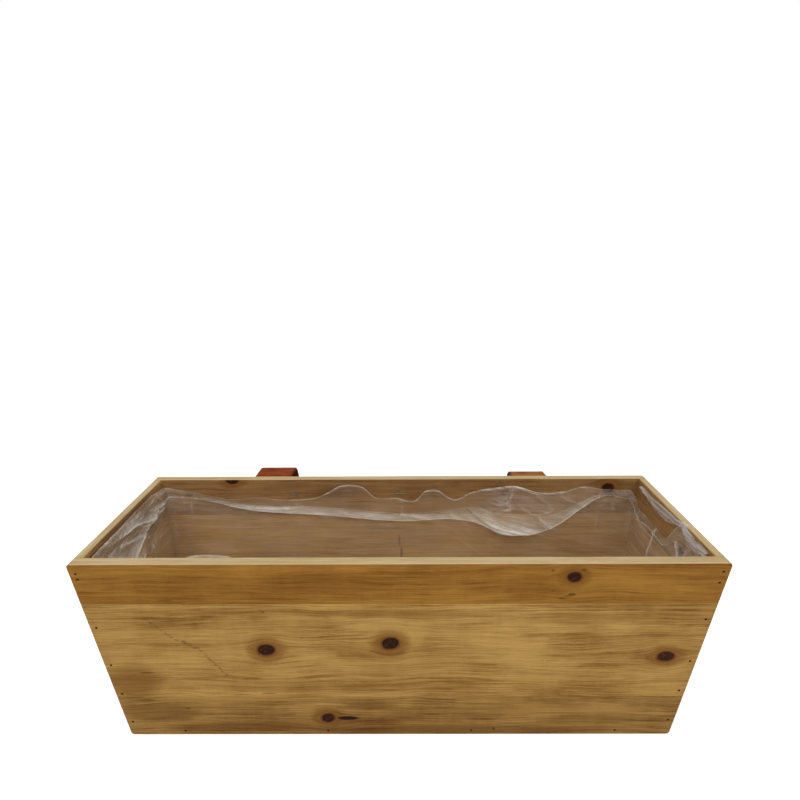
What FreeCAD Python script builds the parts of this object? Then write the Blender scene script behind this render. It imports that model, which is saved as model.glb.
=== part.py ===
import FreeCAD, Part
import math
import os

# Window box planter: a softwood box whose four walls lean out towards the rim, with a clear film
# liner stapled inside and two leather strap loops screwed to the back.
#
# Millimetres. +X runs along the box, -Y is the front and +Z is up. The origin is the middle of the
# underside. Every wall is built in its own coordinates, as the front wall: "along" the rim, "up" the
# slope, and "out" of the outer face, all from the middle of the rim's outer edge. It is then turned
# about Z. A depth is measured down the slope from the rim, so it is minus "up".

Vector = FreeCAD.Vector

# ---------------------------------------------------------------- box
rim_length = 600.0
rim_depth = 225.0
box_height = 204.0
wall_lean = 8.0              # degrees from upright, the same on all four walls
wall_thickness = 12.0
top_board_width = 44.5       # down the slope; the middle board takes what the other two leave
bottom_board_width = 49.5
edge_easing = 0.6            # radius sanded onto every board edge
corner_rounding = 4.0        # at the four corners of the front and back panels, seen square on
floor_thickness = 12.0
floor_clearance = 0.3        # between the floor boards and the walls
floor_seam = 18.0            # the joint between the two floor boards, behind the middle of the box

# ---------------------------------------------------------------- brads
brad_length = 30.0
brad_radius = 0.8
brad_head_radius = 1.2
brad_head_height = 1.0
brad_point_length = 2.0
brad_sinking = 0.5           # depth of the head's top below the wood's face
brad_clearance = 0.15
# Down the slope at each corner: from the top or the bottom edge of the board that holds the brad.
corner_brads = {
    "left": {"top": ((11.0, "top"), (17.0, "top")),
             "middle": ((27.0, "top"), (40.0, "bottom"), (4.0, "bottom")),
             "bottom": ((17.0, "bottom"),)},
    "right": {"top": ((10.0, "top"), (22.0, "top")),
              "middle": ((18.5, "top"), (44.0, "bottom"), (7.5, "bottom")),
              "bottom": ((19.0, "bottom"),)},
}
floor_brad_height = 5.0      # where it enters the wall's face, above the underside
floor_brad_end_inset = 55.0  # from the wall's lower corners to the outermost brad
long_wall_floor_brads = 4
end_wall_floor_brads = 2

# ---------------------------------------------------------------- film liner
film_thickness = 0.3
film_clearance = 0.4         # between the film and the wood
film_top = 12.0              # down the slope from the rim to the film's cut edge
film_fold_radius = 9.0       # in the four corners and where the film turns onto the floor

# ---------------------------------------------------------------- staples
staple_crown = 10.6
staple_leg = 8.0
staple_wire_width = 0.9
staple_wire_thickness = 0.6
staple_drop = 19.0           # down the slope from the rim to the crown
staple_clearance = 0.1
staple_end_inset = 45.0      # from the rim's corners to the outermost staple
long_wall_staples = 5
end_wall_staples = 2

# ---------------------------------------------------------------- strap loops
strap_width = 44.0
strap_thickness = 3.0
strap_gap = 0.3              # between leather and wood, and between two layers of leather
strap_middles = {"left": 156.5, "right": 161.0}    # from the middle of the box
# Each loop is bent by hand, so the two differ. Its reach is level, from the rim's edge to the outside
# of its rear leg. Drops are below the rim, and the top falls away from the rim by its own angle.
loop_reaches = {"left": 74.0, "right": 54.0}
loop_top_drops = {"left": 1.0, "right": 3.5}
loop_top_falls = {"left": 3.0, "right": 5.0}       # degrees
loop_foot_drops = {"left": 64.0, "right": 76.0}    # of the corner below the rear leg
loop_foot_inset = 8.0        # of that corner from the rear leg's top, towards the box
rim_bend_radius = 7.0        # all bends are measured at the middle of the leather
rear_bend_radii = {"left": 33.0, "right": 22.0}
foot_bend_radius = 20.0
pinch_bend_radius = 11.0
flex_depth = 96.0            # down the slope from the rim to the line where the loop bends as a whole
pinched_length = 12.0        # above that line, where the two legs lie together
flex_gap = 0.3
tail_length = 34.0           # clamped part below that line
tail_corner_radius = 7.0

# ---------------------------------------------------------------- strap screws and cup washers
screw_radius = 2.0
screw_length = 18.0          # under the head
screw_point_length = 4.0
screw_head_radius = 3.9
screw_head_height = 2.4
screw_crown_radius = 2.3     # flat in the middle of the head
screw_slot_width = 1.0
screw_slot_depth = 1.1
screw_clearance = 0.15
screw_spacing = 22.0
screw_tail_inset = 17.0      # down the slope from the flex line
washer_radius = 7.0
washer_height = 1.6
washer_rim_height = 0.5

# ---------------------------------------------------------------- worked out from the above
lean = math.radians(wall_lean)
slope_run = math.tan(lean)                     # how far a wall moves inwards for each mm down
slope_length = box_height / math.cos(lean)
level_thickness = wall_thickness / math.cos(lean)
seam_depths = {
    "top": (0.0, top_board_width),
    "middle": (top_board_width, slope_length - bottom_board_width),
    "bottom": (slope_length - bottom_board_width, slope_length),
}
far = 2 * (rim_length + rim_depth + box_height)    # longer than anything in the part
same_place = 0.001           # lengths that differ by less count as equal
same_direction = 0.1         # faces that meet at less than this angle, in radians, count as smooth

# side: turn about Z, distance from the middle to the rim's outer edge, half of the wall's own rim
WALLS = {
    "front": (0.0, rim_depth / 2, rim_length / 2),
    "right": (90.0, rim_length / 2, rim_depth / 2 - level_thickness),
    "back": (180.0, rim_depth / 2, rim_length / 2),
    "left": (270.0, rim_length / 2, rim_depth / 2 - level_thickness),
}


def wall_placement(side):
    """Maps (along, up, out) of a wall to the part's own frame."""
    turn, reach, _ = WALLS[side]
    along = Vector(1, 0, 0)
    up = Vector(0, -math.sin(lean), math.cos(lean))
    out = Vector(0, -math.cos(lean), -math.sin(lean))
    rim = Vector(0, -reach, box_height)
    own = FreeCAD.Matrix(along.x, up.x, out.x, rim.x,
                         along.y, up.y, out.y, rim.y,
                         along.z, up.z, out.z, rim.z,
                         0, 0, 0, 1)
    about_z = FreeCAD.Placement(Vector(), FreeCAD.Rotation(Vector(0, 0, 1), turn))
    return about_z.multiply(FreeCAD.Placement(own))


def to_wall(shape, side):
    """Moves a shape made in a wall's coordinates to where that wall stands."""
    moved = shape.copy()
    moved.Placement = wall_placement(side).multiply(moved.Placement)
    return moved


def box_between(low, high):
    size = [b - a for a, b in zip(low, high)]
    return Part.makeBox(*size, Vector(*low))


def block(corners):
    """A solid with six flat faces from its four lower and four upper corners, anticlockwise."""
    lower, upper = corners[:4], corners[4:]
    rings = [lower[::-1], upper]
    for i in range(4):
        j = (i + 1) % 4
        rings.append([lower[i], lower[j], upper[j], upper[i]])
    shell = Part.makeShell([Part.Face(Part.makePolygon(ring + ring[:1])) for ring in rings])
    shell.sewShape()
    return Part.makeSolid(shell)


def tapered_block(half_length, half_depth, low, high):
    """A block whose four sides lean as the walls do. The halves are its reach at the rim's level."""
    def ring(z):
        inward = (box_height - z) * slope_run
        x = half_length - inward
        y = half_depth - inward
        return [Vector(-x, -y, z), Vector(x, -y, z), Vector(x, y, z), Vector(-x, y, z)]
    return block(ring(low) + ring(high))


def group(solids):
    return Part.makeCompound(solids)


def spread(half, count):
    """Places from -half to half, evenly spaced."""
    return [-half + 2 * half * i / (count - 1) for i in range(count)]


# ---------------------------------------------------------------- boards

def wall_slab(side):
    """A whole wall, level at the rim and the underside, before it is parted into boards."""
    turn, reach, half_rim = WALLS[side]

    def row(z):
        inward = (box_height - z) * slope_run
        x = half_rim - inward
        outer = -reach + inward
        inner = outer + level_thickness
        return [Vector(-x, outer, z), Vector(x, outer, z), Vector(x, inner, z), Vector(-x, inner, z)]

    slab = block(row(0) + row(box_height))
    slab.rotate(Vector(), Vector(0, 0, 1), turn)
    return slab


def panel_corners(board):
    """The edges through a long wall's thickness that end its rim or its foot."""
    corners = []
    for edge in board.Edges:
        extent = edge.BoundBox
        runs_through = extent.XLength + extent.ZLength < same_place
        if runs_through and (extent.ZMin < same_place or extent.ZMax > box_height - same_place):
            corners.append(edge)
    return corners


def sharp_edges(shape):
    """The edges whose two faces meet at an angle."""
    sharp = []
    for edge in shape.Edges:
        middle = edge.valueAt((edge.FirstParameter + edge.LastParameter) / 2)
        faces = shape.ancestorsOfType(edge, Part.Face)
        normals = [face.normalAt(*face.Surface.parameter(middle)) for face in faces]
        if normals[0].getAngle(normals[1]) > same_direction:
            sharp.append(edge)
    return sharp


def wall_board(side, name):
    """One board of a wall. Its long edges are square to its face, apart from the rim and the foot."""
    start, end = seam_depths[name]
    if name == "top":
        start = -far
    if name == "bottom":
        end = far
    band = to_wall(box_between((-far, -end, -far), (far, -start, far)), side)
    board = wall_slab(side).common(band).Solids[0]
    corners = panel_corners(board)
    if corners:
        board = board.makeFillet(corner_rounding, corners)
    return board.makeFillet(edge_easing, sharp_edges(board))


def floor_board(side):
    """A floor board. Its outer edges lean with the walls' inner faces, and it is flush below."""
    half_length = rim_length / 2 - level_thickness - floor_clearance
    half_depth = rim_depth / 2 - level_thickness - floor_clearance
    whole = tapered_block(half_length, half_depth, 0, floor_thickness)
    low, high = (-far, floor_seam) if side == "front" else (floor_seam, far)
    board = whole.common(box_between((-far, low, -far), (far, high, far))).Solids[0]
    return board.makeFillet(edge_easing, board.Edges)


# ---------------------------------------------------------------- brads

def turned(profile):
    """A solid of revolution about the "out" axis from (radius, out) points."""
    points = [Vector(radius, 0, out) for radius, out in profile]
    face = Part.Face(Part.makePolygon(points + points[:1]))
    return face.revolve(Vector(), Vector(0, 0, 1), 360)


def brad(clearance=0.0):
    """A brad that points into the wall. With a clearance it is the hole that the brad sits in."""
    top = -brad_sinking
    neck = top - brad_head_height - clearance
    tip = top - brad_length - clearance
    mouth = wall_thickness if clearance else top
    head = brad_head_radius + clearance
    shank = brad_radius + clearance
    return turned([(0, mouth), (head, mouth), (head, neck), (shank, neck),
                   (shank, tip + brad_point_length), (0, tip)])


def brad_depth(board, inset, edge):
    start, end = seam_depths[board]
    return start + inset if edge == "top" else end - inset


def corner_brad_places(end):
    """(along, depth) of the brads of a front wall's corner, in the middle of the end wall behind."""
    sign = -1 if end == "left" else 1
    places = []
    for board, brads in corner_brads[end].items():
        for inset, edge in brads:
            depth = brad_depth(board, inset, edge)
            inward = depth * math.sin(lean)
            along = rim_length / 2 - level_thickness / 2 - inward
            places.append((sign * along, depth))
    return places


def floor_brad_places(side):
    half = WALLS[side][2] - box_height * slope_run
    count = long_wall_floor_brads
    if side in ("left", "right"):
        half += level_thickness
        count = end_wall_floor_brads
    depth = (box_height - floor_brad_height) / math.cos(lean)
    return [(along, depth) for along in spread(half - floor_brad_end_inset, count)]


def at_places(shape, places, side):
    copies = []
    for along, depth in places:
        copy = shape.copy()
        copy.translate(Vector(along, -depth, 0))
        copies.append(to_wall(copy, side))
    return copies


# ---------------------------------------------------------------- film liner

def film_block(inset, top_depth, foot, radius):
    """The liner's outer or inner shape: tapered, with round upright corners and a round foot."""
    half_length = rim_length / 2 - level_thickness - inset / math.cos(lean)
    half_depth = rim_depth / 2 - level_thickness - inset / math.cos(lean)
    top = box_height - top_depth * math.cos(lean)
    solid = tapered_block(half_length, half_depth, foot, top)
    return solid.makeFillet(radius, [e for e in solid.Edges if e.BoundBox.ZMin < top - radius])


def film_liner():
    """An open-topped skin. The inner shape runs on past the cut edge."""
    foot = floor_thickness + film_clearance
    outer = film_block(film_clearance, film_top, foot, film_fold_radius)
    inner = film_block(film_clearance + film_thickness, film_top - film_fold_radius,
                       foot + film_thickness, film_fold_radius - film_thickness)
    return outer.cut(inner).Solids[0]


# ---------------------------------------------------------------- staples

def staple(clearance=0.0):
    """A staple whose crown lies on the film, with both legs in the wall. "out" 0 is the film."""
    half = staple_crown / 2 + clearance
    tall = staple_wire_width / 2 + clearance
    wire = staple_wire_thickness
    crown = box_between((-half, -tall, -wire), (half, tall, 0))
    legs = []
    for sign in (-1, 1):
        ends = sorted((sign * half, sign * (half - wire - 2 * clearance)))
        legs.append(box_between((ends[0], -tall, -wire), (ends[1], tall, staple_leg - wire + clearance)))
    return crown.fuse(legs).removeSplitter()


def staple_places(side):
    half = WALLS[side][2] - staple_end_inset
    count = long_wall_staples
    if side in ("left", "right"):
        half += level_thickness
        count = end_wall_staples
    return [(along, staple_drop) for along in spread(half, count)]


def staples(side, clearance=0.0):
    film_face = -(wall_thickness + film_clearance + film_thickness)
    shape = staple(clearance)
    shape.translate(Vector(0, 0, film_face))
    return at_places(shape, staple_places(side), side)


# ---------------------------------------------------------------- strap loops

def corner_offsets(corners, distance):
    """The corners of a path moved sideways by distance, to the left of its direction."""
    lines = []
    for a, b in zip(corners, corners[1:]):
        along = (b - a).normalize()
        side = Vector(-along.y, along.x, 0) * distance
        lines.append((a + side, b + side, along))
    moved = [lines[0][0]]
    for (a, _, u), (b, _, v) in zip(lines, lines[1:]):
        moved.append(meeting(a, u, b, v))
    moved.append(lines[-1][1])
    return moved


def rounded_path(corners, radii):
    """Straight runs joined by tangent arcs, one radius for each inner corner."""
    edges = []
    start = corners[0]
    for i, radius in enumerate(radii, 1):
        before = (corners[i - 1] - corners[i]).normalize()
        after = (corners[i + 1] - corners[i]).normalize()
        half_angle = before.getAngle(after) / 2
        cut = radius / math.tan(half_angle)
        centre = corners[i] + (before + after).normalize() * (radius / math.sin(half_angle))
        first = corners[i] + before * cut
        last = corners[i] + after * cut
        middle = centre + (corners[i] - centre).normalize() * radius
        edges.append(Part.LineSegment(start, first).toShape())
        edges.append(Part.Arc(first, middle, last).toShape())
        start = last
    edges.append(Part.LineSegment(start, corners[-1]).toShape())
    return edges


def leather_strip(corners, radii, turns):
    """A strip of leather along a path of (up, out) corners. turns are 1 for left, -1 for right."""
    half = strap_thickness / 2
    left = corner_offsets(corners, half)
    right = corner_offsets(corners, -half)
    left_edges = rounded_path(left, [r - t * half for r, t in zip(radii, turns)])
    right_edges = rounded_path(right, [r + t * half for r, t in zip(radii, turns)])
    ends = [Part.LineSegment(left[i], right[i]).toShape() for i in (0, -1)]
    outline = Part.Wire(Part.__sortEdges__(left_edges + right_edges + ends))
    solid = Part.Face(outline).extrude(Vector(0, 0, strap_width))
    # The path's plane is (up, out), so its normal becomes "along".
    solid.Placement = FreeCAD.Placement(FreeCAD.Matrix(0, 0, 1, -strap_width / 2,
                                                       1, 0, 0, 0,
                                                       0, 1, 0, 0,
                                                       0, 0, 0, 1))
    return solid


front_leg_out = strap_gap + strap_thickness / 2
rear_leg_out = front_leg_out + strap_thickness + strap_gap
stack_out = rear_leg_out + strap_thickness / 2             # outer face of the two layers
screw_seat = stack_out + washer_height - washer_rim_height
screw_tip = screw_seat - screw_length


def strap_along(side):
    """The strap's middle. The back wall's "along" runs from the box's right to its left."""
    return strap_middles[side] if side == "left" else -strap_middles[side]


def behind_rim(run, drop):
    """(up, out) of a point that lies level behind the back rim's edge by run, and drop below it."""
    up = run * math.sin(lean) - drop * math.cos(lean)
    out = run * math.cos(lean) + drop * math.sin(lean)
    return Vector(up, out, 0)


def meeting(a, along_a, b, along_b):
    """Where the line through a meets the line through b."""
    return a + along_a * ((b - a).cross(along_b).z / along_a.cross(along_b).z)


def strap_loop(side):
    """The free loop: up the wall, out behind the rim, round and back to the wall's flex line."""
    half = strap_thickness / 2
    fall = math.tan(math.radians(loop_top_falls[side]))
    start = behind_rim(0, loop_top_drops[side] + half)
    rear_run = loop_reaches[side] - half
    rear_top = behind_rim(rear_run, loop_top_drops[side] + half + rear_run * fall)
    flex_line = Vector(-flex_depth, front_leg_out, 0)
    corners = [
        flex_line,
        meeting(start, rear_top - start, flex_line, Vector(1, 0, 0)),
        rear_top,
        behind_rim(rear_run - loop_foot_inset, loop_foot_drops[side]),
        Vector(pinched_length - flex_depth, rear_leg_out, 0),
        Vector(-flex_depth, rear_leg_out, 0),
    ]
    radii = [rim_bend_radius, rear_bend_radii[side], foot_bend_radius, pinch_bend_radius]
    solid = leather_strip(corners, radii, (1, 1, 1, -1))
    solid.translate(Vector(strap_along(side), 0, 0))
    return to_wall(solid, "back")


def screw_places(side):
    middle = strap_along(side)
    depth = flex_depth + screw_tail_inset
    return [(middle - screw_spacing / 2, depth), (middle + screw_spacing / 2, depth)]


def strap_tails(side):
    """The strap's two ends, one on the other, clamped to the wall below the flex line."""
    half = strap_width / 2
    start = -(flex_depth + flex_gap)
    end = start - tail_length
    layers = []
    for out in (strap_gap, 2 * strap_gap + strap_thickness):
        layer = box_between((-half, end, out), (half, start, out + strap_thickness))
        corners = []
        for edge in layer.Edges:
            extent = edge.BoundBox
            if extent.YMax < end + same_place and extent.ZLength > same_place:
                corners.append(edge)
        layer = layer.makeFillet(tail_corner_radius, corners)
        layer.translate(Vector(strap_along(side), 0, 0))
        layers.append(to_wall(layer, "back"))
    holes = group(at_places(screw_hole(), screw_places(side), "back"))
    return [layer.cut(holes).Solids[0] for layer in layers]


# ---------------------------------------------------------------- strap screws and washers

def screw():
    """An oval-head screw with one slot, seated in its cup washer."""
    top = screw_seat + screw_head_height
    solid = turned([(0, top), (screw_crown_radius, top),
                    (screw_head_radius, screw_seat + screw_head_height / 2),
                    (screw_head_radius, screw_seat), (screw_radius, screw_seat),
                    (screw_radius, screw_tip + screw_point_length), (0, screw_tip)])
    slot = box_between((-washer_radius, -screw_slot_width / 2, top - screw_slot_depth),
                       (washer_radius, screw_slot_width / 2, top + screw_head_height))
    return solid.cut(slot).Solids[0]


def screw_hole():
    bottom = screw_tip - screw_clearance
    return Part.makeCylinder(screw_radius + screw_clearance, screw_seat - bottom, Vector(0, 0, bottom))


def washer():
    """A cup washer: a thin brim that rises to the ring that carries the screw's head."""
    bore = screw_radius + screw_clearance
    ring = screw_head_radius + screw_clearance
    return turned([(bore, stack_out), (washer_radius, stack_out),
                   (washer_radius, stack_out + washer_rim_height),
                   (ring + washer_rim_height, stack_out + washer_height),
                   (ring, stack_out + washer_height), (ring, screw_seat), (bore, screw_seat)])


# ---------------------------------------------------------------- the whole part

def build():
    """Every node's name and its shape."""
    nodes = {}
    corner_holes = []
    floor_holes = []
    for side in ("front", "back"):
        for end in ("left", "right"):
            # The back wall's own left is the box's right.
            own_end = end if side == "front" else {"left": "right", "right": "left"}[end]
            places = corner_brad_places(own_end)
            nodes[f"corner_nails_{side}_{end}"] = group(at_places(brad(), places, side))
            corner_holes += at_places(brad(brad_clearance), places, side)
    for side in WALLS:
        places = floor_brad_places(side)
        nodes[f"floor_nails_{side}"] = group(at_places(brad(), places, side))
        floor_holes += at_places(brad(brad_clearance), places, side)

    staple_holes = []
    for side in WALLS:
        nodes[f"liner_staples_{side}"] = group(staples(side))
        staple_holes += staples(side, staple_clearance)

    screw_holes = []
    for side in ("left", "right"):
        screw_holes += at_places(screw_hole(), screw_places(side), "back")

    cutters = group(corner_holes + floor_holes + staple_holes + screw_holes)
    for side in WALLS:
        for board in seam_depths:
            nodes[f"{side}_board_{board}"] = wall_board(side, board).cut(cutters).Solids[0]
    for side in ("front", "back"):
        nodes[f"floor_board_{side}"] = floor_board(side).cut(group(floor_holes)).Solids[0]

    nodes["film_liner"] = film_liner().cut(group(staple_holes)).Solids[0]

    for side in ("left", "right"):
        places = screw_places(side)
        nodes[f"{side}_strap_loop"] = strap_loop(side)
        nodes[f"{side}_strap_tails"] = group(strap_tails(side))
        nodes[f"{side}_strap_screws"] = group(at_places(screw(), places, "back"))
        nodes[f"{side}_strap_washers"] = group(at_places(washer(), places, "back"))
    return nodes


def main():
    os.makedirs("parts", exist_ok=True)
    for name, shape in build().items():
        shape.exportStep(f"parts/{name}.step")
        print(f"{name:26} solids {len(shape.Solids):2}  valid {shape.isValid()}  volume {shape.Volume:10.1f}")


main()
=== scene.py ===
import bisect
import math
from functools import partialmethod

import bmesh
import bpy
from mathutils import Matrix, Vector, noise


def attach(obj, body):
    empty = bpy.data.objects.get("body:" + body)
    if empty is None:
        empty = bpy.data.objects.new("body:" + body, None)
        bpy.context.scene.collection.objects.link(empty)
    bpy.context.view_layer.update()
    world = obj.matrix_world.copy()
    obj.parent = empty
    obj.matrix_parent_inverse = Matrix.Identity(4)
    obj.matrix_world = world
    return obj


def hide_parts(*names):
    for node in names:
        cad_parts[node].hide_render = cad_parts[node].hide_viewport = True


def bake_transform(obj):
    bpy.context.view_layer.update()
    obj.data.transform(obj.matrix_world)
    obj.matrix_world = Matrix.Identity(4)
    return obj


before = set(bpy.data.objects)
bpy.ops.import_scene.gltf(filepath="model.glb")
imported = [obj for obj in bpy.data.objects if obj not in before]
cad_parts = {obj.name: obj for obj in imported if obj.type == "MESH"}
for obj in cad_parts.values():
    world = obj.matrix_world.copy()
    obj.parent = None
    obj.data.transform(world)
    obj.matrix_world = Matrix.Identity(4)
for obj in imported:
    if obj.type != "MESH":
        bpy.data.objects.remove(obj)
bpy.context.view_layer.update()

# Dimensions are in millimetres, as in the part's source, and each mesh is scaled to metres once.
# +X runs along the box, -Y is the front, and +Z is up. A wall has its own coordinates: "along" the rim,
# "up" the slope and "out" of the outer face, from the middle of the rim's outer edge. A depth is
# measured down the slope from the rim.

MM = 0.001

# ---------------- the part's own dimensions
rim_length = 600.0
rim_depth = 225.0
box_height = 204.0
lean = math.radians(8.0)
wall_thickness = 12.0
top_board_width = 44.5
bottom_board_width = 49.5
floor_thickness = 12.0

film_gap = 0.5  # between the film and the wood, where the film lies flat
film_corner_radius = 9.0
staple_drop = 19.0
staple_end_inset = 45.0
long_wall_staples = 5
end_wall_staples = 2

strap_width = 44.0
strap_thickness = 3.0
strap_edge_radius = 1.1
strap_gap = 0.3
strap_middles = {"left": -156.5, "right": 161.0}
loop_reaches = {"left": 74.0, "right": 54.0}
loop_top_drops = {"left": 1.0, "right": 3.5}
loop_top_falls = {"left": 3.0, "right": 5.0}
loop_foot_drops = {"left": 64.0, "right": 76.0}
loop_foot_inset = 8.0
rim_bend_radius = 7.0
rear_bend_radii = {"left": 33.0, "right": 22.0}
foot_bend_radius = 20.0
pinch_bend_radius = 11.0
flex_depth = 96.0
pinched_length = 12.0
tail_length = 34.3  # from the line where the loop flexes to the strap's ends
tail_corner_radius = 7.0

# ---------------- worked out from the above
slope_run = math.tan(lean)
slope_length = box_height / math.cos(lean)
level_thickness = wall_thickness / math.cos(lean)
seam_depths = {
    "top": (0.0, top_board_width),
    "middle": (top_board_width, slope_length - bottom_board_width),
    "bottom": (slope_length - bottom_board_width, slope_length),
}

# side: turn about Z, distance from the middle to the rim's outer edge, half of the wall's own rim
WALLS = {
    "front": (0.0, rim_depth / 2, rim_length / 2),
    "right": (90.0, rim_length / 2, rim_depth / 2 - level_thickness),
    "back": (180.0, rim_depth / 2, rim_length / 2),
    "left": (270.0, rim_length / 2, rim_depth / 2 - level_thickness),
}

# ---------------- camera
camera_place = (5.0, -652.6, 485.9)
camera_pitch = 13.66  # degrees below level
camera_yaw = -0.307
camera_roll = -0.289
camera_lens = 29.71  # on a 36 mm sensor


def srgb(red, green, blue):
    """A colour written as 0 to 255, in Blender's linear values."""
    def linear(value):
        value /= 255
        return value / 12.92 if value <= 0.04045 else ((value + 0.055) / 1.055) ** 2.4
    return (linear(red), linear(green), linear(blue), 1.0)


# ================ material formulas

class Field:
    """A number that varies over a surface. The operators and methods add the nodes that work it out."""

    def __init__(self, socket):
        self.socket = socket
        self.tree = socket.id_data

    def math(self, operation, *others):
        node = self.tree.nodes.new("ShaderNodeMath")
        node.operation = operation
        plug(node, dict(enumerate((self, *others))))
        return Field(node.outputs[0])

    __add__ = partialmethod(math, "ADD")
    __sub__ = partialmethod(math, "SUBTRACT")
    __mul__ = partialmethod(math, "MULTIPLY")
    __truediv__ = partialmethod(math, "DIVIDE")
    size = partialmethod(math, "ABSOLUTE")
    power = partialmethod(math, "POWER")
    at_least = partialmethod(math, "MAXIMUM")
    at_most = partialmethod(math, "MINIMUM")
    fraction = partialmethod(math, "FRACT")

    def rise(self, low, high):
        """0 below low, 1 above high and smooth between. With low above high it falls instead."""
        node = self.tree.nodes.new("ShaderNodeMapRange")
        node.interpolation_type = "SMOOTHSTEP"
        falls = low > high
        plug(node, {"Value": self, "From Min": min(low, high), "From Max": max(low, high),
                    "To Min": 1.0 if falls else 0.0, "To Max": 0.0 if falls else 1.0})
        return Field(node.outputs["Result"])


def plug(node, values):
    """Links a node's inputs to fields and sockets, or sets them to plain values."""
    for name, value in values.items():
        if isinstance(value, Field):
            value = value.socket
        if isinstance(value, bpy.types.NodeSocket):
            node.id_data.links.new(value, node.inputs[name])
        else:
            node.inputs[name].default_value = value


def new_material(name):
    """A material with a lone Principled shader, as (material, tree, shader)."""
    material = bpy.data.materials.new(name)
    material.use_nodes = True
    tree = material.node_tree
    return material, tree, tree.nodes["Principled BSDF"]


def in_wall(tree, side, what):
    """The shaded point ("Object", in millimetres) or the way it faces ("Normal"), as a wall's (along,
    up, out). The floor uses (x, y, z)."""
    mapping = tree.nodes.new("ShaderNodeMapping")
    mapping.vector_type = "TEXTURE"
    is_point = what == "Object"
    if is_point:
        plug(mapping, {"Scale": (MM, MM, MM)})
    if side in WALLS:
        turn, reach, _ = WALLS[side]
        angle = math.radians(turn)
        plug(mapping, {"Rotation": (math.pi / 2 + lean, 0, angle)})
        if is_point:
            rim = Vector((reach * math.sin(angle), -reach * math.cos(angle), box_height)) * MM
            plug(mapping, {"Location": rim})
    plug(mapping, {"Vector": tree.nodes.new("ShaderNodeTexCoord").outputs[what]})
    return parts_of(mapping.outputs["Vector"])


def parts_of(vector):
    parts = vector.id_data.nodes.new("ShaderNodeSeparateXYZ")
    plug(parts, {0: vector})
    return [Field(output) for output in parts.outputs]


def place_in_part(tree):
    """The shaded point, as a socket in metres and as [x, y, z] in millimetres."""
    place = tree.nodes.new("ShaderNodeTexCoord").outputs["Object"]
    return place, [part / MM for part in parts_of(place)]


def stored(tree, name):
    """A number that the mesh stores at each of its points."""
    node = tree.nodes.new("ShaderNodeAttribute")
    node.attribute_name = name
    return Field(node.outputs["Fac"])


def seen_by_eye(tree):
    """1 for what the camera sees, also in a reflection or through the film, and 0 for lighting."""
    light = tree.nodes.new("ShaderNodeLightPath")
    seen = Field(light.outputs["Is Camera Ray"])
    for kind in ("Is Glossy Ray", "Is Transmission Ray"):
        seen = seen.at_least(Field(light.outputs[kind]))
    return seen


def cloud(x, y, z, detail=2.0, roughness=0.5, distortion=0.0):
    """Smooth noise from 0 to 1, about one blob wide for each 1 of the coordinates."""
    joined = x.tree.nodes.new("ShaderNodeCombineXYZ")
    plug(joined, {0: x, 1: y, 2: z})
    texture = x.tree.nodes.new("ShaderNodeTexNoise")
    plug(texture, {"Vector": joined.outputs[0], "Scale": 1.0, "Detail": detail,
                   "Roughness": roughness, "Distortion": distortion})
    return Field(texture.outputs["Fac"])


def blended(share, first, second):
    """A colour between two others."""
    node = share.tree.nodes.new("ShaderNodeMix")
    node.data_type = "RGBA"
    plug(node, {0: share, 6: first, 7: second})
    return node.outputs[2]


def bumped(shader, height, depth):
    """Gives the shader a relief as deep as this in millimetres for a height of 1."""
    bump = height.tree.nodes.new("ShaderNodeBump")
    plug(bump, {"Strength": 1.0, "Distance": depth * MM, "Height": height})
    plug(shader, {"Normal": bump.outputs["Normal"]})


# ================ wood

# A knot: along, depth, half length, half height, how dark its core is.
FRONT_KNOTS = {
    "top": [(158.9, 15.3, 6.4, 5.4, 1)],
    "middle": [(-126.5, 97.8, 8, 6.2, 1), (-8.5, 90.4, 7.8, 6.6, 1), (254.1, 106.3, 8, 5.6, 0.95)],
    "bottom": [(-71.1, 183.7, 6.4, 5.6, 0.95)],
}
BACK_KNOTS = {
    "top": [(-251.4, 12.3, 7, 5.5, 0.95), (202.4, 2.5, 7, 4, 0.95)],
    "middle": [(118, 122, 8, 6, 0.9)],
    "bottom": [(-140, 182, 6.5, 5, 0.8)],
}
END_KNOTS = {
    "left": {"middle": [(32, 104, 7.5, 6, 0.9)], "bottom": [(-38, 186, 4.5, 3.6, 0.7)]},
    "right": {"top": [(-41, 27, 6, 4.6, 0.85)], "middle": [(22, 138, 8, 6.2, 0.9)]},
}
# A small mark: along, depth, half length, half height, darkness.
FRONT_MARKS = {
    "top": [(-214, 40, 9, 1, 0.4), (140, 7.5, 2, 1.6, 0.5), (168, 7, 3.4, 1.6, 0.5),
        (159.5, 34, 4.6, 2.2, 0.6), (155.5, 35.8, 4.4, 1.8, 0.35), (150.5, 38.2, 5, 1.8, 0.4),
        (142, 30, 2.4, 1.6, 0.3)],
    "middle": [(-243, 125, 9, 1.1, 0.55), (-127, 151.5, 9, 1, 0.5), (-125, 53, 1.4, 1.4, 0.5),
        (-9, 147.5, 14, 1, 0.45), (-203, 87, 3.4, 1.6, 0.35), (-192, 95, 4, 1.8, 0.35)],
    "bottom": [(-50.6, 183.7, 13, 3.4, 1), (-50.6, 183.7, 11, 2.6, 1), (-209, 171, 2.2, 1.4, 0.55),
        (95.3, 198.5, 1.8, 2.8, 0.6), (-251, 160, 16, 1.6, 0.3)],
}
INNER_BACK_MARKS = {"middle": [(1.5, 77, 1.6, 9, 0.5), (-1, 92, 1.8, 9, 0.55)]}
# Painted shadow: the dark line just under the left wall's rim, inside the box.
INNER_LEFT_SHADOW = {"top": [(0, 1.5, 118, 4.5, 0.5)]}
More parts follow.
